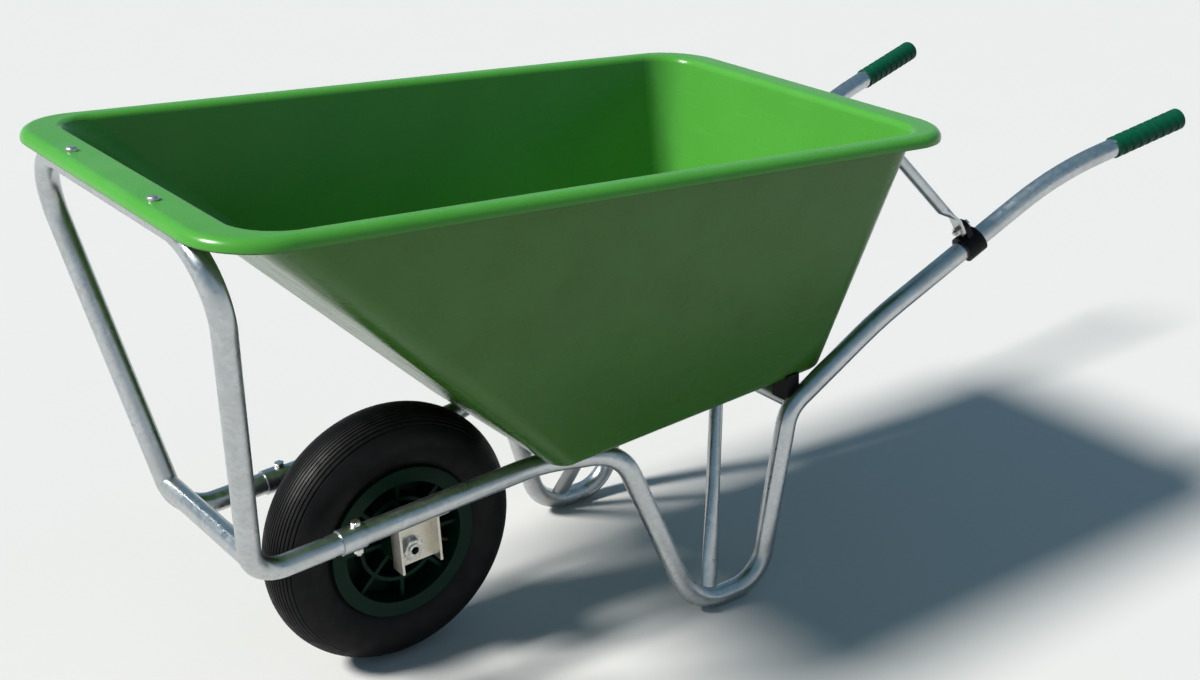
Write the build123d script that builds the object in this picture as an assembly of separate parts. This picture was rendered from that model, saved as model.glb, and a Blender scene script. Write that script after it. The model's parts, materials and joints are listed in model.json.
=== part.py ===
from build123d import *

import os
from math import cos, hypot, radians, sin, sqrt, tan

# Wheelbarrow in millimetres. It is drawn with the wheel axle at X = 0, the handles towards +X,
# the left side at -Y and the ground at Z = 0. The last step moves its middle to X = 0.

# Wheel
wheel_d = 400.0
tyre_w = 100.0
tyre_crown_r = 54.0
tyre_shoulder_w = 84.0
tyre_side_h = 50.0
tyre_seat_h = 95.0
tread_groove_w = 1.6
tread_groove_depth = 2.0
tread_groove_step = 4.7
tread_groove_pairs = 9
air_chamber_r = 43.0
tube_skin = 2.0
bead_gap = 44.0
bead_rise = 1.0
rim_flange_h = 13.0
rim_flange_t = 6.0
rim_seat_w = 80.0
rim_barrel_t = 9.0
rim_web_t = 8.0
rim_rib_count = 8
rim_rib_t = 6.0
rim_rib_w = 66.0
rim_rib_bury = 2.0
rim_ring_gap = 29.0
rim_ring_t = 6.0
hub_d = 62.0
hub_w = 110.0
bearing_d = 36.0
bearing_w = 22.0
seal_w = 5.0
seal_gap = 0.5
roller_count = 10
roller_d = 5.0
roller_play = 0.1
running_play = 0.05
side_play = 0.4
valve_d = 8.0
valve_len = 28.0
valve_cap_d = 10.0
valve_cap_len = 12.0
valve_cap_end_t = 4.0
valve_offset = 17.0

# Axle and its brackets
axle_d = 20.0
axle_bore = 12.0
axle_proud = 2.0
axle_nut_af = 30.0
axle_nut_t = 8.0
axle_washer_d = 38.0
axle_washer_t = 2.0
spacer_d = 30.0
web_inside = 60.0
bracket_t = 4.0
web_front = 29.0
web_rear = 39.0
web_below_axle = 26.0
web_flange = 22.0
bracket_reach = 4.0
bracket_fold_r = 3.0

# Frame tubes; a name ending in _y is the distance of a centre line from the middle plane
tube_d = 32.0
tube_wall = 2.0
rail_y = 112.0
rail_axle_z = 284.0
rail_slope = 3.2
rail_joint_x = -122.0
rail_splay_x = 200.0
nose_x = -272.0
nose_bend_r = 58.0
splay_bend_r = 150.0
leg_top_x = 308.0
leg_top_y = 162.0
leg_foot_front_x = 418.0
leg_foot_rear_x = 555.0
leg_y = 207.0
leg_top_bend_r = 60.0
leg_front_bend_r = 84.0
leg_rear_bend_r = 62.0
knee_x = 615.0
knee_z = 297.0
knee_y = 197.0
knee_bend_r = 64.0
handle_mid_x = 780.0
handle_mid_z = 417.0
handle_mid_bend_r = 700.0
handle_high_x = 1123.0
handle_high_z = 604.0
handle_high_bend_r = 620.0
handle_end_x = 1382.0
handle_end_z = 660.0
handle_end_y = 308.0
hoop_setback = 22.0
hoop_inset = 41.0
hoop_bend_r = 84.0
nose_bar_d = 32.0
nose_bar_z = 312.0
sleeve_wall = 3.0
sleeve_len = 120.0
collar_len = 36.0
collar_t = 2.5
collar_bolt_inset = 8.0
cross_bar_w = 40.0
cross_bar_t = 4.0
weld_bite = 2.5
front_bar_x = 226.0
front_bar_reach = 40.0
rear_bar_d = 25.0
rear_bar_x = 628.0
rear_bar_z = 304.0
brace_d = 22.0
brace_foot_x = 450.0
brace_top_x = 556.0
brace_top_y = 93.0
brace_bend_r = 50.0
brace_foot_w = 34.0
brace_foot_t = 12.0
brace_foot_len = 40.0
brace_taper = 120.0

# Tray
rim_front_x = -381.0
rim_rear_x = 830.0
rim_w = 664.0
rim_z_at_axle = 794.5
rim_slope = 3.66
rim_depth = 17.0
rim_t = 5.0
rim_corner_r = 95.0
rim_edge_r = 13.0
rim_foot_r = 2.0
front_lip_w = 46.0
rear_lip_w = 48.0
side_lip_w = 26.0
mouth_corner_r = 66.0
mouth_edge_r = 12.0
floor_front_x = 186.0
floor_rear_x = 704.0
floor_w = 372.0
floor_corner_r = 34.0
floor_edge_r = 18.0
tray_wall = 5.0
boss_d = 26.0
boss_h = 9.0
pad_len = 24.0
pad_w = 36.0
pad_inset = 10.0
pad_rise = 12.0

# Struts, clamps and grips
clamp_x = 954.0
clamp_w = 34.0
clamp_t = 6.5
clamp_ear = 25.0
clamp_ear_w = 26.0
clamp_ear_t = 10.0
clamp_ear_r = 11.0
strut_d = 19.0
strut_flat_w = 25.0
strut_flat_t = 5.0
strut_flat_r = 11.0
strut_flat_len = 34.0
strut_taper = 34.0
strut_inset = 88.0
strut_drop = 38.0
strut_tab_len = 36.0
grip_len = 148.0
grip_d = 36.6
grip_rib_count = 8
grip_rib_depth = 1.5
grip_end_t = 4.0
grip_collar_w = 8.0

# Fasteners
bolt_d = 8.0
bolt_af = 13.0
bolt_head_t = 5.5
bolt_nut_t = 6.5
bolt_washer_d = 22.0
bolt_washer_t = 1.6
bolt_spare = 4.0
dome_d = 15.0
dome_edge_r = 3.8
insert_d = 12.0
insert_len = 12.0
boss_bolt_depth = 7.0
rim_bolt_y = 126.0
floor_bolt_y = 60.0

# Values worked out from the sizes above
tube_r = tube_d / 2
axle_z = wheel_d / 2
web_outside = web_inside + bracket_t
floor_up = tube_r + cross_bar_t
mouth_front_x = rim_front_x + front_lip_w
mouth_rear_x = rim_rear_x - rear_lip_w
mouth_w = rim_w - 2 * side_lip_w
hoop_top_x = rim_front_x + hoop_setback
hoop_top_y = rim_w / 2 - hoop_inset
pad_y = floor_w / 2 - pad_inset
strut_top_y = mouth_w / 2 - strut_inset
far_out = 4 * wheel_d
flat_tolerance = 0.01

# Deck: the sloping plane of the two rails, with its local x along them
slope = radians(rail_slope)
deck = Plane(
    origin=(0, 0, rail_axle_z),
    x_dir=(cos(slope), 0, sin(slope)),
    z_dir=(-sin(slope), 0, cos(slope)),
)

# Brim: the top face of the tray rim, falling towards the handles
fall = radians(rim_slope)
brim = Plane(
    origin=(0, 0, rim_z_at_axle),
    x_dir=(cos(fall), 0, -sin(fall)),
    z_dir=(sin(fall), 0, cos(fall)),
)

# Spin: the wheel's own frame, with its local z along the axle
spin = Plane(origin=(0, 0, axle_z), x_dir=(1, 0, 0), z_dir=(0, 1, 0))

nodes = {}


def right_of(shape):
    return mirror(shape, about=Plane.XZ)


def both(shape):
    return Part() + [shape, right_of(shape)]


def add_pair(name, shape):
    nodes[name + "_left"] = shape
    nodes[name + "_right"] = right_of(shape)


def swept_rod(points, radii, diameter):
    path = FilletPolyline(*points, radius=radii)
    start = Plane(origin=path @ 0, z_dir=path % 0)
    return sweep(start * Circle(diameter / 2), path=path)


def straight_rod(start, end, diameter):
    run = Vector(*end) - Vector(*start)
    return Plane(origin=start, z_dir=run) * extrude(Circle(diameter / 2), run.length)


def span_box(x, y, z):
    """Box from three (low, high) pairs."""
    size = [high - low for low, high in (x, y, z)]
    return Pos(x[0], y[0], z[0]) * Box(*size, align=(Align.MIN, Align.MIN, Align.MIN))


def ring(outer_d, inner_d, low, high):
    face = Circle(outer_d / 2) - Circle(inner_d / 2)
    return Pos(0, 0, low) * extrude(face, high - low)


def hexagon(across_flats, low, high):
    return Pos(0, 0, low) * extrude(RegularPolygon(across_flats / sqrt(3), 6), high - low)


def bolt_hole():
    return Pos(0, 0, -far_out / 2) * extrude(Circle(bolt_d / 2), far_out)


def shank(low, high):
    return Pos(0, 0, low) * extrude(Circle(bolt_d / 2), high - low)


def past_nut(grip_below):
    return grip_below - bolt_nut_t - bolt_spare


def bolt(head_at, tip):
    """Hexagon bolt along local z, with its head above head_at."""
    return shank(tip, head_at) + hexagon(bolt_af, head_at, head_at + bolt_head_t)


def dome_bolt(head_at, tip):
    """Bolt with a low round head above head_at, along local z."""
    head = Pos(0, 0, head_at) * extrude(Circle(dome_d / 2), bolt_head_t)
    head = fillet(head.edges().group_by(Axis.Z)[-1], dome_edge_r)
    return shank(tip, head_at) + head


def nut(grip_below):
    return hexagon(bolt_af, grip_below - bolt_nut_t, grip_below) - bolt_hole()


def washer(low):
    return ring(bolt_washer_d, bolt_d, low, low + bolt_washer_t)


def rounded_box(front, rear, width, corner):
    """Rounded rectangle from front to rear along local x, centred on local y."""
    return Pos((front + rear) / 2, 0) * RectangleRounded(rear - front, width, corner)


def edges_on(shape, plane):
    """Edges that lie in a plane."""
    def flat(edge):
        return all(abs(plane.to_local_coords(edge @ t).Z) < flat_tolerance for t in (0, 0.5, 1))
    return [edge for edge in shape.edges() if flat(edge)]


# Places on the frame, all for the left side
def rail_point(x):
    return Vector(x, -rail_y, rail_axle_z + x * tan(slope))


def handle_point(x, z):
    share = (x - knee_x) / (handle_end_x - knee_x)
    return Vector(x, -knee_y - share * (handle_end_y - knee_y), z)


leg_top = Vector(leg_top_x, -leg_top_y, rail_point(leg_top_x).Z)
foot_front = Vector(leg_foot_front_x, -leg_y, tube_r)
foot_rear = Vector(leg_foot_rear_x, -leg_y, tube_r)
knee = Vector(knee_x, -knee_y, knee_z)
handle_mid = handle_point(handle_mid_x, handle_mid_z)
handle_high = handle_point(handle_high_x, handle_high_z)
handle_end = handle_point(handle_end_x, handle_end_z)
nose = rail_point(nose_x)
hoop_corner = brim.from_local_coords(Vector(hoop_top_x, -hoop_top_y, -rim_t - tube_r))
axle_at = deck.to_local_coords(Vector(0, 0, axle_z))
rear_bar_at = deck.to_local_coords(Vector(rear_bar_x, 0, rear_bar_z))
tube_bore = tube_d - 2 * tube_wall


def flip(point):
    return Vector(point.X, -point.Y, point.Z)


# Side tube: rail, leg and handle in one bent tube
side_path = [
    rail_point(rail_joint_x),
    rail_point(rail_splay_x),
    leg_top,
    foot_front,
    foot_rear,
    knee,
    handle_mid,
    handle_high,
    handle_end,
]
side_bends = [
    splay_bend_r,
    leg_top_bend_r,
    leg_front_bend_r,
    leg_rear_bend_r,
    knee_bend_r,
    handle_mid_bend_r,
    handle_high_bend_r,
]
side_rod = swept_rod(side_path, side_bends, tube_d)
side_tube = side_rod - swept_rod(side_path, side_bends, tube_bore)

# Front hoop: rail stubs, noses, uprights and the bar under the rim
hoop_half = [rail_point(rail_joint_x), nose, hoop_corner]
hoop_path = hoop_half + [flip(point) for point in reversed(hoop_half)]
hoop_bends = [nose_bend_r, hoop_bend_r, hoop_bend_r, nose_bend_r]
hoop_rod = swept_rod(hoop_path, hoop_bends, tube_d)
hoop = hoop_rod - swept_rod(hoop_path, hoop_bends, tube_bore)

# Nose bar, shaped to the uprights it is welded between
upright_share = (nose_bar_z - nose.Z) / (hoop_corner.Z - nose.Z)
nose_bar_end = nose + (hoop_corner - nose) * upright_share
nodes["nose_bar"] = straight_rod(nose_bar_end, flip(nose_bar_end), nose_bar_d) - hoop_rod

# Joint between hoop stub and side tube: sleeve inside, collar outside, a bolt through the side tube
joint = Plane(origin=rail_point(rail_joint_x), x_dir=deck.x_dir, z_dir=deck.z_dir)
along_rail = Plane(origin=rail_point(rail_joint_x), x_dir=deck.z_dir, z_dir=deck.x_dir)
sleeve = along_rail * ring(tube_bore, tube_bore - 2 * sleeve_wall, -sleeve_len / 2, sleeve_len / 2)
collar = along_rail * ring(tube_d + 2 * collar_t, tube_d, -collar_len / 2, collar_len / 2)
collar_top = tube_r + collar_t
spot = joint * Pos(collar_len / 2 - collar_bolt_inset, 0, 0)
nodes["rail_bolts"] = both(spot * bolt(collar_top, past_nut(-collar_top)))
nodes["rail_nuts"] = both(spot * nut(-collar_top))
add_pair("rail_sleeve", sleeve - spot * bolt_hole())
add_pair("rail_collar", collar - spot * bolt_hole())
add_pair("side_tube", side_tube - spot * bolt_hole())

# Axle bracket: a plate welded under the rail, folded down to a web with two flanges that carries the axle
saddle = tube_r - weld_bite
plate_low = -saddle - bracket_t
web_x = (axle_at.X - web_front, axle_at.X + web_rear)
web_y = (-web_outside, -web_inside)
plate_y = (-rail_y - bracket_reach, -web_inside)
flange_y = (-web_outside - web_flange, -web_inside)
web_foot = axle_at.Z - web_below_axle
bracket = span_box(web_x, plate_y, (plate_low, -saddle))
bracket += span_box(web_x, web_y, (web_foot, -saddle))
bracket += span_box((web_x[0], web_x[0] + bracket_t), flange_y, (web_foot, plate_low))
bracket += span_box((web_x[1] - bracket_t, web_x[1]), flange_y, (web_foot, plate_low))
fold = bracket.edges().filter_by(Axis.X).group_by(Axis.Z)[-1].sort_by(Axis.Y)[-1]
bracket = fillet(fold, bracket_fold_r)
add_pair("axle_bracket", deck * bracket - side_rod - spin * extrude(Circle(axle_d / 2), -far_out))

# Axle, with a spacer inside and a washer and nut outside each web
washer_out = web_outside + axle_washer_t
nut_out = washer_out + axle_nut_t
axle_half = nut_out + axle_proud
nodes["axle"] = spin * ring(axle_d, axle_bore, -axle_half, axle_half)
axle_nut = hexagon(axle_nut_af, washer_out, nut_out) - Cylinder(axle_d / 2, far_out)
nodes["axle_nuts"] = both(spin * axle_nut)
nodes["axle_washers"] = both(spin * ring(axle_washer_d, axle_d, web_outside, washer_out))
nodes["axle_spacers"] = both(spin * ring(spacer_d, axle_d, hub_w / 2 + side_play, web_inside))

# Cross bars under the tray floor
front_bar_y = rail_y + front_bar_reach
front_bar_span = (front_bar_x - cross_bar_w / 2, front_bar_x + cross_bar_w / 2)
front_bar = deck * span_box(front_bar_span, (-front_bar_y, front_bar_y), (saddle, floor_up))
front_bar = front_bar - side_rod - right_of(side_rod)
rear_bar_end = Vector(rear_bar_x, -knee_y, rear_bar_z)
rear_bar_rod = straight_rod(rear_bar_end, flip(rear_bar_end), rear_bar_d)
rear_bar_core = straight_rod(rear_bar_end, flip(rear_bar_end), rear_bar_d - 2 * tube_wall)
nodes["rear_cross_bar"] = rear_bar_rod - rear_bar_core - side_rod - right_of(side_rod)

# Leg brace: from one foot up under the floor and down to the other, with flattened ends
brace_foot = Vector(brace_foot_x, -leg_y, tube_r)
brace_top_z = deck.from_local_coords(Vector(brace_top_x, 0, floor_up - brace_d / 2)).Z
brace_top = Vector(brace_top_x, -brace_top_y, brace_top_z)
brace_run = (brace_top - brace_foot).normalized()
brace_side = Vector(0, 1, 0).cross(brace_run)
blade_len = tube_r + brace_foot_len
blade_start = Plane(origin=brace_foot, x_dir=brace_side, z_dir=brace_run)
blade_end = blade_start.offset(blade_len)
round_start = blade_end.offset(brace_taper)
blade_section = Ellipse(brace_foot_w / 2, brace_foot_t / 2)
blade = blade_start * extrude(blade_section, blade_len)
blade += loft([blade_end * blade_section, round_start * Circle(brace_d / 2)])
brace_path = [round_start.origin, brace_top, flip(brace_top), flip(round_start.origin)]
brace = swept_rod(brace_path, [brace_bend_r, brace_bend_r], brace_d)
nodes["leg_brace"] = brace + blade + right_of(blade) - side_rod - right_of(side_rod)


# Tray
def wall_line(low_x, high_x):
    """Outer face of the front or rear wall, seen from the side: its foot and its upward direction."""
    foot = deck.from_local_coords(Vector(low_x, 0, floor_up))
    return foot, (brim.from_local_coords(Vector(high_x, 0, 0)) - foot).normalized()


def inner_crossing(low_x, high_x, inward, plane):
    """Local x where a wall's inner face crosses a plane."""
    foot, up = wall_line(low_x, high_x)
    start = foot + Vector(up.Z, 0, -up.X) * inward * tray_wall
    level = plane.to_local_coords(start).Z
    climb = plane.to_local_coords(start + up).Z - level
    return plane.to_local_coords(start - up * (level / climb)).X


def tray_void():
    """Inside of the tray, open at the top."""
    floor_top = deck.offset(floor_up + tray_wall)
    side_inset = tray_wall * hypot(1, (mouth_w - floor_w) / 2 / (rim_z_at_axle - rail_axle_z))
    faces = []
    for plane, width, corner in ((floor_top, floor_w, floor_corner_r), (brim, mouth_w, mouth_corner_r)):
        front = inner_crossing(floor_front_x, mouth_front_x, 1, plane)
        rear = inner_crossing(floor_rear_x, mouth_rear_x, -1, plane)
        faces.append(plane * rounded_box(front, rear, width - 2 * side_inset, corner - tray_wall))
    void = loft(faces, ruled=True)
    return fillet(edges_on(void, floor_top), floor_edge_r - tray_wall)


def tray_shell():
    low = rounded_box(floor_front_x, floor_rear_x, floor_w, floor_corner_r)
    high = rounded_box(mouth_front_x, mouth_rear_x, mouth_w, mouth_corner_r)
    floor_under = deck.offset(floor_up)
    shell = loft([floor_under * low, brim * high], ruled=True)
    return fillet(edges_on(shell, floor_under), floor_edge_r)


def tray_rim():
    outline = rounded_box(rim_front_x, rim_rear_x, rim_w, rim_corner_r)
    body = Pos(0, 0, -rim_depth) * extrude(outline, rim_depth)
    body = fillet(body.edges().group_by(Axis.Z)[-1], rim_edge_r)
    body = fillet(body.edges().group_by(Axis.Z)[0], rim_foot_r)
    inner = rounded_box(rim_front_x + rim_t, rim_rear_x - rim_t, rim_w - 2 * rim_t, rim_corner_r - rim_t)
    hollow = Pos(0, 0, -rim_depth) * extrude(inner, rim_depth - rim_t)
    hollow = fillet(hollow.edges().group_by(Axis.Z)[-1], rim_edge_r - rim_t)
    return brim * (body - hollow)


shell = tray_shell()
tray = shell + tray_rim() - tray_void()
tray = fillet(edges_on(tray, brim), mouth_edge_r)

# Pads on the rear cross bar, shaped to the edge of the tray floor
pad_x = (rear_bar_at.X - pad_len / 2, rear_bar_at.X + pad_len / 2)
pad_span = (-pad_y - pad_w / 2, -pad_y + pad_w / 2)
pad = deck * span_box(pad_x, pad_span, (rear_bar_at.Z, floor_up + pad_rise))
pad = pad - rear_bar_rod - side_rod - shell
add_pair("tray_pad", pad)

# Floor bolts through the front cross bar, with washers inside the tray
floor_top_at = floor_up + tray_wall
spot = deck * Pos(front_bar_x, -floor_bolt_y, 0)
nodes["floor_bolts"] = both(spot * dome_bolt(floor_top_at + bolt_washer_t, past_nut(saddle)))
nodes["floor_washers"] = both(spot * washer(floor_top_at))
nodes["floor_nuts"] = both(spot * nut(saddle))
tray -= both(spot * bolt_hole())
nodes["front_cross_bar"] = front_bar - both(spot * bolt_hole())

# Rim bolts, through the front rim into threaded inserts in the hoop
insert_top = -rim_t - tube_wall
insert_low = insert_top - insert_len
spot = brim * Pos(hoop_top_x, -rim_bolt_y, 0)
rim_hole = both(spot * shank(insert_low, far_out))
nodes["rim_bolts"] = both(spot * dome_bolt(0, insert_low))
nodes["rim_inserts"] = both(spot * ring(insert_d, bolt_d, insert_low, insert_top)) - hoop
tray -= rim_hole
nodes["front_hoop"] = hoop - rim_hole

# Handle clamp and the strut from it to the rear wall of the tray
wall_up = wall_line(floor_rear_x, mouth_rear_x)[1]
wall_out = Vector(wall_up.Z, 0, -wall_up.X)
wall_top = brim.from_local_coords(Vector(mouth_rear_x, 0, 0))
strut_top = wall_top - wall_up * strut_drop + Vector(0, -strut_top_y, 0)
wall = Plane(origin=strut_top, x_dir=wall_up, z_dir=wall_out)
boss_face = wall.offset(boss_h)
handle_run = (handle_high - handle_mid).normalized()
clamp_at = handle_mid + handle_run * ((clamp_x - handle_mid.X) / handle_run.X)
to_wall = strut_top - clamp_at
ear_dir = (to_wall - handle_run * to_wall.dot(handle_run)).normalized()
grip_band = Plane(origin=clamp_at, x_dir=ear_dir, z_dir=handle_run)
ear_end = tube_r + clamp_t + clamp_ear
ear_hole_x = ear_end - clamp_ear_r
clamp = ring(tube_d + 2 * clamp_t, tube_d, -clamp_w / 2, clamp_w / 2)
ear_x = (tube_r + clamp_t / 2, ear_end)
ear = span_box(ear_x, (-clamp_ear_w / 2, clamp_ear_w / 2), (-clamp_ear_t / 2, clamp_ear_t / 2))
ear = fillet(ear.edges().filter_by(Axis.Z).group_by(Axis.X)[-1], clamp_ear_r)
clamp = grip_band * (clamp + ear)
clamp_bolt_spot = grip_band * Pos(ear_hole_x, 0, 0)
flat_out = clamp_ear_t / 2 + strut_flat_t
clamp -= clamp_bolt_spot * bolt_hole()
add_pair("handle_clamp", clamp)
nodes["clamp_bolts"] = both(clamp_bolt_spot * bolt(clamp_ear_t / 2, past_nut(-flat_out)))
nodes["clamp_nuts"] = both(clamp_bolt_spot * nut(-flat_out))

flat_at = grip_band.from_local_coords(Vector(ear_hole_x, 0, strut_flat_t / 2 - flat_out))
ear_out = grip_band.z_dir
tab_at = boss_face.from_local_coords(Vector(-strut_tab_len / 4, 0, strut_flat_t / 2))
strut_run = (tab_at - flat_at).normalized()
flat_dir = (strut_run - ear_out * strut_run.dot(ear_out)).normalized()
flat_plane = Plane(origin=flat_at, x_dir=flat_dir, z_dir=ear_out)
flat_half = strut_flat_w / 2
flat_x = (-flat_half, strut_flat_len - flat_half)
flat = span_box(flat_x, (-flat_half, flat_half), (-strut_flat_t / 2, strut_flat_t / 2))
flat = flat_plane * fillet(flat.edges().filter_by(Axis.Z).group_by(Axis.X)[0], strut_flat_r)
flat_end = Plane(origin=flat_at + flat_dir * flat_x[1], x_dir=ear_out, z_dir=flat_dir)
round_end = Plane(origin=flat_at + strut_run * (flat_x[1] + strut_taper), x_dir=ear_out, z_dir=strut_run)
taper = loft([flat_end * Rectangle(strut_flat_t, strut_flat_w), round_end * Circle(strut_d / 2)])
rod = straight_rod(round_end.origin, tab_at, strut_d)
tab = span_box((-strut_tab_len / 2, strut_tab_len / 2), (-flat_half, flat_half), (0, strut_flat_t))
under_tab = boss_face * span_box((-far_out, far_out), (-far_out, far_out), (-far_out, 0))
strut = flat + taper + (rod - under_tab) + boss_face * tab - clamp_bolt_spot * bolt_hole()

# Strut bolts, into bosses on the outside of the rear wall
spot = boss_face * Pos(strut_tab_len / 4, 0, 0)
boss = spot * Pos(0, 0, -boss_h - tray_wall / 2) * extrude(Circle(boss_d / 2), boss_h + tray_wall / 2)
strut_hole = spot * shank(-boss_bolt_depth, far_out)
nodes["strut_bolts"] = both(spot * bolt(strut_flat_t + bolt_washer_t, -boss_bolt_depth))
nodes["strut_washers"] = both(spot * washer(strut_flat_t))
add_pair("tray_strut", strut - strut_hole)
nodes["tray"] = tray + both(boss) - both(strut_hole)

# Grips: ribbed sleeves with closed ends
grip_run = (handle_end - handle_high).normalized()
grip_frame = Plane(origin=handle_end, z_dir=grip_run)
grip_r = grip_d / 2
grip_front = grip_end_t - grip_len
grip = Pos(0, 0, grip_front) * extrude(Circle(grip_r), grip_len)
grip = fillet(grip.edges().group_by(Axis.Z)[-1], grip_end_t)
rib_zone = grip_len - grip_collar_w - 2 * grip_end_t
groove_w = rib_zone / grip_rib_count / 2
for number in range(grip_rib_count):
    low = grip_front + grip_collar_w + rib_zone * number / grip_rib_count
    grip -= ring(2 * grip_d, grip_d - 2 * grip_rib_depth, low, low + groove_w)
grip -= Pos(0, 0, grip_front) * extrude(Circle(tube_r), grip_len - grip_end_t)
add_pair("grip", grip_frame * grip)


# Wheel, drawn about local z and then turned onto the axle
def turned(profile):
    return revolve(Plane.XZ * profile, axis=Axis.Z)


def slab(r_low, r_high, z_low, z_high):
    return Pos((r_low + r_high) / 2, (z_low + z_high) / 2) * Rectangle(r_high - r_low, z_high - z_low)


tyre_r = wheel_d / 2
tyre_side_r = tyre_r - tyre_side_h
seat_r = tyre_r - tyre_seat_h
flange_r = seat_r + rim_flange_h
seat_half = rim_seat_w / 2
shoulder_z = tyre_shoulder_w / 2
shoulder_r = tyre_r - tyre_crown_r + sqrt(tyre_crown_r**2 - shoulder_z**2)
bead_top_r = flange_r + bead_rise
outline = [
    Line((seat_r, -seat_half), (bead_top_r, -seat_half)),
    ThreePointArc((bead_top_r, -seat_half), (tyre_side_r, -tyre_w / 2), (shoulder_r, -shoulder_z)),
    ThreePointArc((shoulder_r, -shoulder_z), (tyre_r, 0), (shoulder_r, shoulder_z)),
    ThreePointArc((shoulder_r, shoulder_z), (tyre_side_r, tyre_w / 2), (bead_top_r, seat_half)),
    Line((bead_top_r, seat_half), (seat_r, seat_half)),
    Line((seat_r, seat_half), (seat_r, -seat_half)),
]
chamber = Pos(tyre_side_r, 0) * Circle(air_chamber_r)
tyre_section = make_face(outline) - chamber - slab(0, tyre_side_r, -bead_gap / 2, bead_gap / 2)
tyre = turned(tyre_section)
for number in range(tread_groove_pairs):
    groove_z = tread_groove_step * (number + 0.5)
    crown = tyre_r - tyre_crown_r + sqrt(tyre_crown_r**2 - groove_z**2)
    for z in (-groove_z, groove_z):
        low = z - tread_groove_w / 2
        tyre -= turned(slab(crown - tread_groove_depth, wheel_d, low, low + tread_groove_w))
nodes["tyre"] = spin * tyre
air_section = chamber - Pos(tyre_side_r, 0) * Circle(air_chamber_r - tube_skin)
nodes["inner_tube"] = spin * turned(air_section)

# Rim: barrel with flanges, middle web, ribs, a stiffening ring and the hub
barrel_r = seat_r - rim_barrel_t
flange_z = seat_half + rim_flange_t
rim_section = slab(barrel_r, seat_r, -flange_z, flange_z)
rim_section += slab(barrel_r, flange_r, seat_half, flange_z)
rim_section += slab(barrel_r, flange_r, -flange_z, -seat_half)
rim_section += slab(bearing_d / 2, barrel_r, -rim_web_t / 2, rim_web_t / 2)
rim_section += slab(bearing_d / 2, hub_d / 2, -hub_w / 2, hub_w / 2)
ring_r = barrel_r - rim_ring_gap
rim_section += slab(ring_r - rim_ring_t, ring_r, -rim_rib_w / 2, rim_rib_w / 2)
rim = turned(rim_section)
rib_x = (hub_d / 2 - rim_rib_bury, barrel_r + rim_rib_bury)
rib = span_box(rib_x, (-rim_rib_t / 2, rim_rib_t / 2), (-rim_rib_w / 2, rim_rib_w / 2))
for number in range(rim_rib_count):
    rim += Rot(0, 0, 360 / rim_rib_count * number) * rib
valve_turn = Rot(0, 0, 180 / rim_rib_count)
valve_path = valve_turn * Pos(0, 0, -valve_offset) * Rot(0, 90, 0)
stem_end = seat_r - valve_len
stem = valve_path * Pos(0, 0, stem_end) * extrude(Circle(valve_d / 2), tyre_side_r - stem_end)
rim -= stem
nodes["wheel_rim"] = spin * rim
nodes["valve_stem"] = spin * (stem - turned(chamber))
cap = Pos(0, 0, stem_end - valve_cap_end_t) * extrude(Circle(valve_cap_d / 2), valve_cap_len)
cap -= Pos(0, 0, stem_end) * extrude(Circle(valve_d / 2), valve_len)
nodes["valve_cap"] = spin * valve_path * cap

# Roller bearings and dust seals in the hub
cage_bore = axle_d + 2 * running_play
bearing_out = hub_w / 2 - seal_w
bearing = ring(bearing_d, cage_bore, bearing_out - bearing_w, bearing_out)
roller_circle = (bearing_d + cage_bore) / 4
roller_len = bearing_w - roller_d
rollers = []
for number in range(roller_count):
    spot = Rot(0, 0, 360 / roller_count * number) * Pos(roller_circle, 0, bearing_out - bearing_w / 2)
    bearing -= spot * Cylinder(roller_d / 2 + roller_play, roller_len + 2 * roller_play)
    rollers.append(spot * Cylinder(roller_d / 2, roller_len))
add_pair("bearing", spin * (Part() + [bearing] + rollers))
seal = ring(bearing_d, axle_d + 2 * seal_gap, bearing_out, hub_w / 2)
nodes["hub_seals"] = both(spin * seal)

# The middle of the whole length, from the foot of the front rim to the end of a grip
foot_at = brim.from_local_coords(Vector(rim_front_x + rim_foot_r, 0, rim_foot_r - rim_depth))
front_end = foot_at.X - rim_foot_r
grip_lean = sqrt(1 - grip_run.X**2)
rear_end = handle_end_x + grip_end_t + (grip_r - grip_end_t) * grip_lean
middle_x = (front_end + rear_end) / 2

os.makedirs("parts", exist_ok=True)
for name, shape in nodes.items():
    export_step(Pos(-middle_x, 0, 0) * shape, f"parts/{name}.step")
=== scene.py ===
import json
import math

import bpy
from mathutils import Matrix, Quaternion, Vector

# Wheelbarrow in metres: finishes for every piece, the studio and the camera.
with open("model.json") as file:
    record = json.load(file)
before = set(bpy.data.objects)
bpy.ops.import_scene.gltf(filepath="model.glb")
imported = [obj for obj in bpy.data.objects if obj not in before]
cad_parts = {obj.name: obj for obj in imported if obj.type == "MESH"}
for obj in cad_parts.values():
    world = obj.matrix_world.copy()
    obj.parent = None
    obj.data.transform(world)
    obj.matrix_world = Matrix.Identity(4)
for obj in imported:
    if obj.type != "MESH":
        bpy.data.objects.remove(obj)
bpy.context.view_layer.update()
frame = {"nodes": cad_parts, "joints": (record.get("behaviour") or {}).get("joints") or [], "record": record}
nodes = frame["nodes"]
scene = bpy.context.scene

# Camera, as the photograph was taken
photo_width = 1200
camera_from_axle = Vector((-1.1030, -1.9766, 1.2522))
camera_yaw = math.radians(-37.12)
camera_pitch = math.radians(22.91)
camera_roll = math.radians(-0.08)
focal_pixels = 1725.8
sensor_width = 36.0

# Studio: a sun as key light, a weak warm fill on the near side, and a pale floor
key_towards = (-0.68, 0.175, 0.71)
key_spread = math.radians(12.0)
key_strength = 8.2
key_colour = (1.0, 0.97, 0.92)
fill_place = (0.6, -4.5, 2.2)
fill_target = (0.0, 0.0, 0.4)
fill_size = 3.5
fill_watts = 6.0
fill_colour = (1.0, 0.88, 0.68)
floor_size = 60.0

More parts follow.
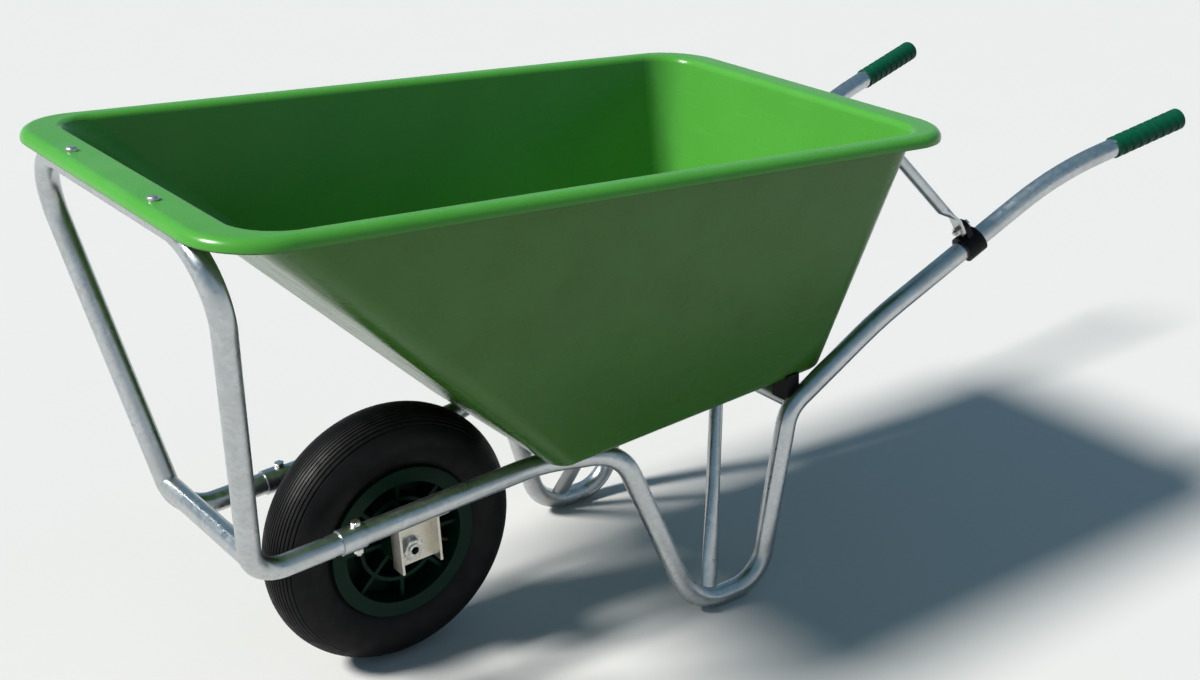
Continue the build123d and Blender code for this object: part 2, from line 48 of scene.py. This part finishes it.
# Surroundings, by the sine of the height above the horizon: pale below the first, sky above the second
horizon_top = 0.05
sky_from = 0.20

# Base colours, in linear light
GREEN = (0.046, 0.206, 0.026)
GREEN_DEEP = (0.039, 0.186, 0.021)
GREEN_WORN = (0.080, 0.240, 0.060)
# Painted shade: darker olive laid on the tray's outer walls where they face down
GREEN_PAINTED_SHADE = (0.030, 0.098, 0.011)
ZINC_LIGHT = (0.58, 0.60, 0.61)
ZINC_DARK = (0.38, 0.40, 0.42)
ZINC_DULL = (0.40, 0.40, 0.38)
SHEET_LIGHT = (0.70, 0.67, 0.59)
SHEET_DARK = (0.56, 0.53, 0.46)
BOLT_LIGHT = (0.66, 0.66, 0.64)
BOLT_DARK = (0.42, 0.41, 0.38)
RUBBER = (0.0022, 0.0022, 0.0026)
RUBBER_DUSTY = (0.006, 0.006, 0.006)
RIM_GREEN = (0.0005, 0.014, 0.007)
RIM_GREEN_WORN = (0.0015, 0.022, 0.012)
GRIP_GREEN = (0.0004, 0.044, 0.022)
GRIP_GREEN_WORN = (0.003, 0.055, 0.030)
BLACK = (0.004, 0.004, 0.005)
BLACK_WORN = (0.012, 0.012, 0.013)
BRASS_LIGHT = (0.60, 0.42, 0.17)
BRASS_DARK = (0.36, 0.24, 0.09)
FLOOR_PALE = (0.42, 0.42, 0.415)
FLOOR_WORN = (0.36, 0.36, 0.355)
HORIZON = (0.64, 0.68, 0.70)
SKY = (0.145, 0.26, 0.355)


class Finish:
    """A material with one Principled shader and the texture nodes that feed it, in metres."""

    def __init__(self, name, metallic=0.0, specular=0.5):
        self.material = bpy.data.materials.new(name)
        self.material.use_nodes = True
        self.tree = self.material.node_tree
        self.shader = self.tree.nodes["Principled BSDF"]
        self.shader.inputs["Metallic"].default_value = metallic
        self.shader.inputs["Specular IOR Level"].default_value = specular
        self.place = self.node("ShaderNodeTexCoord").outputs["Object"]

    def node(self, kind, **settings):
        made = self.tree.nodes.new(kind)
        for key, value in settings.items():
            setattr(made, key, value)
        return made

    def feed(self, into, value):
        """Sets an input to a number or colour, or links an output to it."""
        if isinstance(value, bpy.types.NodeSocket):
            self.tree.links.new(value, into)
        elif isinstance(value, tuple):
            into.default_value = (*value, 1.0)[: len(into.default_value)]
        else:
            into.default_value = value

    def stretched(self, x, y, z):
        """Texture coordinates scaled along the three axes."""
        mapping = self.node("ShaderNodeMapping")
        mapping.inputs["Scale"].default_value = (x, y, z)
        self.feed(mapping.inputs["Vector"], self.place)
        return mapping.outputs["Vector"]

    def noise(self, per_metre, detail=4.0, place=None):
        made = self.node("ShaderNodeTexNoise")
        made.inputs["Scale"].default_value = per_metre
        made.inputs["Detail"].default_value = detail
        self.feed(made.inputs["Vector"], place or self.place)
        return made.outputs["Fac"]

    def cells(self, per_metre):
        """A grey value that changes from one irregular cell to the next."""
        made = self.node("ShaderNodeTexVoronoi")
        made.inputs["Scale"].default_value = per_metre
        self.feed(made.inputs["Vector"], self.place)
        split = self.node("ShaderNodeSeparateColor")
        self.feed(split.inputs["Color"], made.outputs["Color"])
        return split.outputs["Red"]

    def spread(self, value, low, high, to_low=0.0, to_high=1.0):
        """Maps low to high onto to_low to to_high, with the ends held."""
        made = self.node("ShaderNodeMapRange")
        numbers = {"From Min": low, "From Max": high, "To Min": to_low, "To Max": to_high}
        for name, number in numbers.items():
            made.inputs[name].default_value = number
        self.feed(made.inputs["Value"], value)
        return made.outputs["Result"]

    def math(self, operation, first, second):
        made = self.node("ShaderNodeMath", operation=operation)
        self.feed(made.inputs[0], first)
        self.feed(made.inputs[1], second)
        return made.outputs["Value"]

    def blend(self, share, first, second):
        made = self.node("ShaderNodeMix", data_type="RGBA")
        self.feed(made.inputs["Factor"], share)
        self.feed(made.inputs["A"], first)
        self.feed(made.inputs["B"], second)
        return made.outputs["Result"]

    def upward(self):
        """Height of the surface normal: 1 faces up, -1 faces down."""
        split = self.node("ShaderNodeSeparateXYZ")
        self.feed(split.inputs["Vector"], self.node("ShaderNodeNewGeometry").outputs["Normal"])
        return split.outputs["Z"]

    def facing_up(self):
        """1 where the surface faces up, 0 where it is upright or faces down."""
        return self.spread(self.upward(), 0.55, 0.95)

    def facing_down(self):
        """1 where the surface leans over, 0 where it is upright or faces up."""
        return self.spread(self.upward(), -0.02, -0.16)

    def soft_edges(self, radius):
        """Surface normal with hard edges rounded over."""
        made = self.node("ShaderNodeBevel", samples=4)
        made.inputs["Radius"].default_value = radius
        return made.outputs["Normal"]

    def worn_edges(self, radius):
        """1 along hard edges, 0 away from them."""
        turn = self.node("ShaderNodeVectorMath", operation="DOT_PRODUCT")
        self.feed(turn.inputs[0], self.soft_edges(radius))
        self.feed(turn.inputs[1], self.node("ShaderNodeNewGeometry").outputs["Normal"])
        return self.spread(turn.outputs["Value"], 0.995, 0.90)

    def bump(self, height, depth, normal=None):
        made = self.node("ShaderNodeBump")
        made.inputs["Distance"].default_value = depth
        self.feed(made.inputs["Height"], height)
        if normal is not None:
            self.feed(made.inputs["Normal"], normal)
        return made.outputs["Normal"]

    def set(self, **values):
        """Feeds the shader's inputs; an underscore stands for a space."""
        for name, value in values.items():
            self.feed(self.shader.inputs[name.replace("_", " ")], value)
        return self.material


def tray_plastic():
    """Glossy moulded plastic: slight waves, fine grain, rub marks, a little dust where it lies flat and
    painted shade on the outside, a darker olive tone where the walls face down."""
    finish = Finish("green_plastic", specular=0.26)
    cloud = finish.spread(finish.noise(4.0, 3.0), 0.25, 0.75)
    colour = finish.blend(cloud, GREEN_DEEP, GREEN)
    streaks = finish.noise(1.0, 6.0, finish.stretched(14.0, 14.0, 150.0))
    scuff = finish.spread(streaks, 0.62, 0.78, 0.0, 0.20)
    specks = finish.spread(finish.noise(30.0, 6.0), 0.45, 0.8, 0.0, 0.25)
    dust = finish.math("MULTIPLY", finish.facing_up(), specks)
    worn = finish.math("MAXIMUM", scuff, dust)
    colour = finish.blend(worn, colour, GREEN_WORN)
    # Painted shade: the outer walls that face down are darkened to olive, a little unevenly
    painted_shade_patches = finish.spread(finish.noise(9.0, 4.0), 0.3, 0.7, 0.82, 1.0)
    painted_shade = finish.math("MULTIPLY", finish.facing_down(), painted_shade_patches)
    colour = finish.blend(painted_shade, colour, GREEN_PAINTED_SHADE)
    rough = finish.spread(finish.noise(18.0, 5.0), 0.3, 0.7, 0.22, 0.30)
    rough = finish.math("ADD", rough, finish.math("MULTIPLY", worn, 0.35))
    waves = finish.bump(finish.noise(5.0, 1.0), 0.003)
    grain = finish.bump(finish.noise(900.0, 2.0), 0.00006, waves)
    return finish.set(Base_Color=colour, Roughness=rough, Normal=grain)


def galvanised_steel():
    """Zinc coat with a faint spangle, cloudy dull patches and fine pits."""
    finish = Finish("galvanised_steel", metallic=1.0)
    spangle = finish.cells(150.0)
    colour = finish.blend(finish.spread(spangle, 0.0, 1.0, 0.40, 0.80), ZINC_DARK, ZINC_LIGHT)
    dull = finish.spread(finish.noise(14.0, 6.0), 0.50, 0.72, 0.0, 0.50)
    colour = finish.blend(dull, colour, ZINC_DULL)
    rough = finish.spread(spangle, 0.0, 1.0, 0.27, 0.33)
    rough = finish.math("ADD", rough, finish.math("MULTIPLY", dull, 0.14))
    pits = finish.bump(finish.noise(420.0, 4.0), 0.00008)
    return finish.set(Base_Color=colour, Roughness=rough, Normal=pits)


def folded_steel():
    """Zinc-coated sheet: a brushed grain along its length, softened edges and bright wear on them."""
    finish = Finish("folded_steel", metallic=0.9)
    grain = finish.noise(1.0, 4.0, finish.stretched(25.0, 500.0, 500.0))
    colour = finish.blend(finish.spread(grain, 0.3, 0.7), SHEET_DARK, SHEET_LIGHT)
    edge = finish.worn_edges(0.0012)
    colour = finish.blend(edge, colour, ZINC_LIGHT)
    rough = finish.spread(finish.noise(40.0, 5.0), 0.3, 0.7, 0.28, 0.40)
    brushed = finish.bump(grain, 0.00008, finish.soft_edges(0.0008))
    return finish.set(Base_Color=colour, Roughness=rough, Normal=brushed)


def zinc_fastener():
    """Plated bolts and nuts: turned marks, dull patches and rounded edges."""
    finish = Finish("zinc_fastener", metallic=1.0)
    patch = finish.spread(finish.noise(160.0, 5.0), 0.40, 0.65)
    colour = finish.blend(patch, BOLT_LIGHT, BOLT_DARK)
    rough = finish.spread(finish.noise(300.0, 3.0), 0.3, 0.7, 0.22, 0.42)
    marks = finish.bump(finish.noise(1200.0, 2.0), 0.00008, finish.soft_edges(0.0006))
    return finish.set(Base_Color=colour, Roughness=rough, Normal=marks)


def moulded(name, base, worn, rough_low, rough_high, grain_per_metre, grain_depth, edge=0.0010):
    """Plain moulded plastic or rubber: cloudy colour, paler rubbed edges, a fine grain and dust on top."""
    finish = Finish(name, specular=0.12)
    gaps = finish.spread(finish.noise(60.0, 4.0), 0.35, 0.6)
    rubbed = finish.math("MULTIPLY", finish.worn_edges(edge), gaps)
    specks = finish.spread(finish.noise(45.0, 6.0), 0.45, 0.75, 0.0, 0.5)
    dust = finish.math("MULTIPLY", finish.facing_up(), specks)
    cloud = finish.spread(finish.noise(12.0, 5.0), 0.45, 0.8, 0.0, 0.4)
    share = finish.math("MAXIMUM", cloud, rubbed)
    share = finish.math("MAXIMUM", share, dust)
    rough = finish.spread(finish.noise(25.0, 5.0), 0.3, 0.7, rough_low, rough_high)
    grain = finish.bump(finish.noise(grain_per_metre, 3.0), grain_depth, finish.soft_edges(edge / 2))
    return finish.set(Base_Color=finish.blend(share, base, worn), Roughness=rough, Normal=grain)


def tyre_rubber():
    """Black rubber: dust caught in the pores and on the tread, and a fine grain."""
    finish = Finish("tyre_rubber", specular=0.15)
    dust = finish.spread(finish.noise(22.0, 7.0), 0.46, 0.78, 0.0, 0.75)
    colour = finish.blend(dust, RUBBER, RUBBER_DUSTY)
    rough = finish.spread(finish.noise(55.0, 5.0), 0.3, 0.7, 0.40, 0.62)
    grain = finish.bump(finish.noise(700.0, 4.0), 0.00018)
    return finish.set(Base_Color=colour, Roughness=rough, Normal=grain)


def valve_brass():
    """Turned brass with darker patches and softened edges."""
    finish = Finish("valve_brass", metallic=1.0)
    patch = finish.spread(finish.noise(120.0, 5.0), 0.4, 0.65)
    colour = finish.blend(patch, BRASS_LIGHT, BRASS_DARK)
    rough = finish.spread(finish.noise(260.0, 3.0), 0.3, 0.7, 0.25, 0.45)
    return finish.set(Base_Color=colour, Roughness=rough, Normal=finish.soft_edges(0.0005))


finish_of_slot = {
    "green_plastic": tray_plastic(),
    "galvanised_steel": galvanised_steel(),
    "zinc_fastener": zinc_fastener(),
    "rim_plastic": moulded("rim_plastic", RIM_GREEN, RIM_GREEN_WORN, 0.40, 0.55, 800.0, 0.0001),
    "tyre": tyre_rubber(),
    "butyl_rubber": moulded("butyl_rubber", RUBBER, RUBBER_DUSTY, 0.55, 0.7, 500.0, 0.0002),
    "grip_rubber": moulded("grip_rubber", GRIP_GREEN, GRIP_GREEN_WORN, 0.36, 0.52, 900.0, 0.0001),
    "black_plastic": moulded("black_plastic", BLACK, BLACK_WORN, 0.38, 0.55, 900.0, 0.0001),
    "bearing_steel": zinc_fastener(),
    "valve_brass": valve_brass(),
}
sheet_finish = folded_steel()
sheet_nodes = ("axle_bracket_left", "axle_bracket_right", "front_cross_bar")


def dress(name, material):
    mesh = nodes[name].data
    mesh.materials.clear()
    mesh.materials.append(material)


for part in frame["record"]["subparts"]:
    own = sheet_finish if part["node"] in sheet_nodes else finish_of_slot[part["material_slot"]]
    dress(part["node"], own)


def add_floor():
    bpy.ops.mesh.primitive_plane_add(size=floor_size, location=(0, 0, 0))
    floor = bpy.context.object
    floor.name = "floor"
    finish = Finish("floor_pale", specular=0.2)
    shade = finish.spread(finish.noise(3.0, 4.0), 0.3, 0.7, 0.0, 0.06)
    colour = finish.blend(shade, FLOOR_PALE, FLOOR_WORN)
    floor.data.materials.append(finish.set(Base_Color=colour, Roughness=0.8))


def add_light(name, place, target, size, watts, colour):
    lamp = bpy.data.lights.new(name, "AREA")
    lamp.shape = "DISK"
    lamp.size = size
    lamp.energy = watts
    lamp.color = colour
    light = bpy.data.objects.new(name, lamp)
    scene.collection.objects.link(light)
    light.location = place
    light.rotation_mode = "QUATERNION"
    light.rotation_quaternion = (Vector(target) - Vector(place)).to_track_quat("-Z", "Y")


def add_sun(towards, spread, strength, colour):
    lamp = bpy.data.lights.new("key", "SUN")
    lamp.angle = spread
    lamp.energy = strength
    lamp.color = colour
    light = bpy.data.objects.new("key", lamp)
    scene.collection.objects.link(light)
    light.rotation_mode = "QUATERNION"
    light.rotation_quaternion = (-Vector(towards)).to_track_quat("-Z", "Y")


def add_world():
    """Soft blue light from above, paling to a near white horizon."""
    world = bpy.data.worlds.new("studio")
    world.use_nodes = True
    tree = world.node_tree
    split = tree.nodes.new("ShaderNodeSeparateXYZ")
    tree.links.new(tree.nodes.new("ShaderNodeTexCoord").outputs["Generated"], split.inputs["Vector"])
    rise = tree.nodes.new("ShaderNodeMapRange")
    rise.inputs["From Min"].default_value = horizon_top
    rise.inputs["From Max"].default_value = sky_from
    tree.links.new(split.outputs["Z"], rise.inputs["Value"])
    mix = tree.nodes.new("ShaderNodeMix")
    mix.data_type = "RGBA"
    mix.inputs["A"].default_value = (*HORIZON, 1.0)
    mix.inputs["B"].default_value = (*SKY, 1.0)
    tree.links.new(rise.outputs["Result"], mix.inputs["Factor"])
    tree.links.new(mix.outputs["Result"], tree.nodes["Background"].inputs["Color"])
    scene.world = world


def add_camera():
    spin = next(joint for joint in frame["joints"] if joint["name"] == "wheel_spin")
    data = bpy.data.cameras.new("camera")
    data.sensor_fit = "HORIZONTAL"
    data.sensor_width = sensor_width
    data.lens = focal_pixels / photo_width * sensor_width
    camera = bpy.data.objects.new("camera", data)
    scene.collection.objects.link(camera)
    level = math.cos(camera_pitch)
    back = Vector((math.sin(camera_yaw) * level, -math.cos(camera_yaw) * level, math.sin(camera_pitch)))
    camera.location = Vector(spin["pos_m"]) + camera_from_axle
    camera.rotation_mode = "QUATERNION"
    camera.rotation_quaternion = (-back).to_track_quat("-Z", "Y") @ Quaternion((0, 0, 1), camera_roll)
    scene.camera = camera


add_floor()
add_sun(key_towards, key_spread, key_strength, key_colour)
add_light("near_fill", fill_place, fill_target, fill_size, fill_watts, fill_colour)
add_world()
add_camera()
scene.view_settings.view_transform = "Standard"
